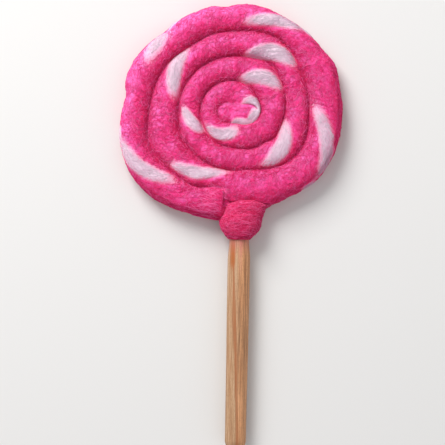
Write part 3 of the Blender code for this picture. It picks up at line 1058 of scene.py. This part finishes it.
def fibre_piece(name, fibres, thickness, shade, material, slot_name):
    """One mesh of three-sided tubes with pointed ends, each with its own shade and cell of the layout."""
    points, normals = fibres[:2]
    count, knots = points.shape[:2]
    way = unit(np.gradient(points, axis=1))
    side = unit(np.cross(normals, way))
    up = np.cross(way, side)
    radius = thickness / 2.0 * (0.6 + 0.8 * RANDOM.random(count))[:, None]
    radius = (radius * np.sin(math.pi * np.linspace(0.12, 0.88, knots)))[:, :, None]
    rings = []
    for k in range(3):
        turned = math.tau * k / 3.0
        rings.append(points + side * radius * math.cos(turned) + up * radius * math.sin(turned))
    inner = np.stack(rings, 2)[:, 1:-1].reshape(count, -1, 3)
    vertices = np.concatenate((points[:, (0, -1)], inner), 1)
    vertices[:, :, 2] = np.maximum(vertices[:, :, 2], FLOOR_CLEARANCE)
    quads, layout = [], []
    for k in range(3):
        after = (k + 1) % 3
        for row in range(knots - 1):
            low = [2 + 3 * (row - 1) + j for j in (k, after)] if row > 0 else [0, 0]
            high = [2 + 3 * row + j for j in (k, after)] if row < knots - 2 else [1, 1]
            quads.append((low[0], low[1], high[1], high[0]))
            layout.append(((k, row), (k + 0.9, row), (k + 0.9, row + 1), (k, row + 1)))
    quads = np.array(quads)
    layout = np.array(layout) / (3.3, knots)
    cells = math.ceil(math.sqrt(count))
    index = np.arange(count)
    corner = np.stack((index % cells, index // cells), -1)[:, None, None, :]
    all_quads = (quads[None] + index[:, None, None] * vertices.shape[1]).reshape(-1, 4)
    all_layout = ((layout[None] + corner) / cells).reshape(-1, 4, 2)
    piece = make_mesh(name, vertices.reshape(-1, 3), all_quads, {"OFBake": all_layout})
    attribute = piece.data.attributes.new("shade", "FLOAT", "POINT")
    shades = np.repeat(np.clip(shade, 0.0, 1.0), vertices.shape[1])
    attribute.data.foreach_set("value", shades.astype(np.float32))
    return dress(piece, material, slot_name)


def gap_fibres(count, knots=8):
    """Loose fibres from the rope's end to the collar, across the gap."""
    share = np.linspace(-1.0, 1.0, knots)
    arch = 1.0 - share**2
    spread = RANDOM.standard_normal((count, 4))
    x, y = place(GAP_BEARING, GAP_RADIUS)
    points = np.empty((count, knots, 3))
    points[:, :, 0] = x + GAP_REACH * share
    points[:, :, 1] = y + 0.8 * spread[:, :1] + 0.9 * spread[:, 1:2] * share + 0.4 * spread[:, 2:3] * arch
    points[:, :, 2] = MIDDLE_Z + GAP_LEVEL + 0.35 * spread[:, 3:] * share + 0.3 * arch
    normals = np.zeros(points.shape)
    normals[:, :, 2] = 1.0
    return points, normals


# Building it

RANDOM = np.random.default_rng(7)


def build_wool():
    surface = Swirl().build()
    shades = (PAINTED_GROOVE_SHADE_PINK, DARK_AND_PAINTED_SHADE_PINK, WOOL_PINK, PAINTED_HIGHLIGHT_PINK, DEEP_PINK, BRIGHT_PINK)
    rope_wool = wool_material("felted_rope", FIBRE_LEAN, shades)
    dress(make_surface("felt_rope", surface), rope_wool, "wool", "felt_coil")
    field = Field(surface)
    shown = np.where(field.normal[:, 2] > -0.35, 1.0, 0.35)
    pink = shown * (1.0 - field.white)
    x, y, z = field.middle.T
    end = smooth((x + 11.0) / 6.0) * (x < 0.5) * (y < 14.5) * (z > MIDDLE_Z) * (y > 1.0)
    straight = fibre_material("pink_fibres", DEEP_PINK, WOOL_PINK, BRIGHT_PINK)
    curly = fibre_material("curly_fibres", DARK_AND_PAINTED_SHADE_PINK, WOOL_PINK, FIBRE_PALE)
    white = fibre_material("white_fibres", WHITE_DARK_AND_PAINTED_SHADE, WHITE_WOOL, WHITE_BRIGHT_AND_PAINTED_HIGHLIGHT)
    # Painted highlight on fibres that face the key lamp, and painted shade on fibres in grooves, added to
    # their shade
    painted_light_and_shade = FIBRE_PAINTED_HIGHLIGHT * (field.normal @ np.array(PAINTED_LIGHT_WAY) - 0.6) - FIBRE_PAINTED_GROOVE_SHADE * field.groove
    # a piece's name, where its fibres grow and on how white a wool, their thickness, shade and its spread
    for name, kind, weight, low, high, thickness, shade, spread, material in (
        ("pink_fibres_laid", LAID, pink, 0.0, 0.75, 0.13, 0.58, 0.8, straight),
        ("pink_fibres_matted", MATTED, pink, 0.0, 0.5, 0.15, 0.6, 0.9, curly),
        ("groove_fibres", TANGLED, pink * (0.05 + field.groove), 0.0, 0.3, 0.16, 0.86, 1.3, curly),
        ("white_fibres_laid", PALE, shown * field.white**5, 0.15, 1.0, 0.13, 0.82, 0.5, white),
        ("end_fibres", BRIDGING, end * pink, 0.0, 1.0, 0.19, 0.8, 1.6, curly),
    ):
        fibres = within(grow_fibres(field, weight, *kind), low, high)
        start = fibres[2]
        shade = shade + spread * (RANDOM.random(len(start)) - 0.5) + painted_light_and_shade[start]
        fibre_piece(name, fibres, thickness, shade, material, "wool")
    crossing = gap_fibres(GAP_FIBRES)
    # the gap's fibres take the darker half of the curly fibres' colours, as painted shade in the gap
    fibre_piece("gap_fibres", crossing, 0.24, 0.5 * RANDOM.random(GAP_FIBRES), curly, "wool")


def build_collar():
    surface = collar_surface()
    shades = (PAINTED_GROOVE_SHADE_PINK, COLLAR_PAINTED_SHADE, COLLAR_PINK, COLLAR_PAINTED_HIGHLIGHT, COLLAR_DEEP, COLLAR_BRIGHT)
    collar_wool = wool_material("wound_wool", 3.0, shades)
    dress(make_surface("wound_collar", surface), collar_wool, "collar_wool", "felt_collar")
    field = Field(surface)
    outside = (field.middle[:, 1] > COLLAR_MOUTH + 0.2) & (field.normal[:, 2] > -0.6)
    outside &= np.linalg.norm(field.middle[:, (0, 2)] - (STICK_X, MIDDLE_Z), axis=1) > BORE_RADIUS + 0.3
    material = fibre_material("collar_fibres", COLLAR_DEEP, COLLAR_PINK, COLLAR_BRIGHT)
    for name, kind, thickness, shade, spread in (
        ("collar_fibres", WOUND, 0.15, 0.5, 1.4),
        ("collar_fibres_loose", LOOSE, 0.16, 0.75, 1.2),
    ):
        fibres = grow_fibres(field, outside * 1.0, *kind)
        shade = shade + spread * (RANDOM.random(kind[0]) - 0.5)
        fibre_piece(name, fibres, thickness, shade, material, "collar_wool")


build_wool()
build_collar()
dress(make_surface("dowel", stick_surface()), wood_material(), "stick_wood", "wooden_stick")


# Studio

def make_floor():
    data = bpy.data.meshes.new("floor")
    corners = [(x * FLOOR_HALF, y * FLOOR_HALF, 0.0) for x, y in ((-1, -1), (1, -1), (1, 1), (-1, 1))]
    data.from_pydata(corners, [], [(0, 1, 2, 3)])
    material, _, shader = new_material("pale_floor")
    feed(shader.inputs["Base Color"], FLOOR_COLOUR)
    feed(shader.inputs["Roughness"], 0.9)
    data.materials.append(material)
    add_object("floor", data)


def make_lamp(name, place_at, size, power, colour):
    lamp = bpy.data.lights.new(name, "AREA")
    lamp.size = size
    lamp.energy = power
    lamp.color = colour
    holder = add_object(name, lamp)
    holder.location = place_at
    holder.rotation_euler = (Vector(LIT_POINT) - Vector(place_at)).to_track_quat("-Z", "Y").to_euler()


def make_studio():
    make_floor()
    make_lamp("key", (-0.36, 0.6, 0.55), size=0.45, power=8.4, colour=(1.0, 0.99, 0.99))
    make_lamp("fill", (0.5, -0.35, 0.7), size=0.9, power=0.9, colour=(0.97, 0.98, 1.0))
    world = bpy.data.worlds.new("studio")
    world.use_nodes = True
    sky = world.node_tree.nodes["Background"]
    sky.inputs["Color"].default_value = SKY_COLOUR
    sky.inputs["Strength"].default_value = SKY_STRENGTH
    bpy.context.scene.world = world
    bpy.context.scene.view_settings.view_transform = "Standard"


def make_camera():
    """Looks straight down, turned and framed as the photograph is."""
    turn = math.radians(-SWIRL_TURN)
    across = (PHOTO_PIXELS / 2 - CENTRE_PIXEL[0]) * PIXEL
    down = (PHOTO_PIXELS / 2 - CENTRE_PIXEL[1]) * PIXEL
    x = SWIRL_CENTRE[0] + across * math.cos(turn) + down * math.sin(turn)
    y = SWIRL_CENTRE[1] + across * math.sin(turn) - down * math.cos(turn)
    data = bpy.data.cameras.new("camera")
    data.sensor_width = SENSOR_MM
    data.lens = SENSOR_MM * (CAMERA_HEIGHT - MIDDLE_Z) / (PHOTO_PIXELS * PIXEL)
    camera = add_object("camera", data)
    camera.location = (x * MM, y * MM, CAMERA_HEIGHT * MM)
    camera.rotation_euler = (0.0, 0.0, turn)
    bpy.context.scene.camera = camera


make_studio()
make_camera()
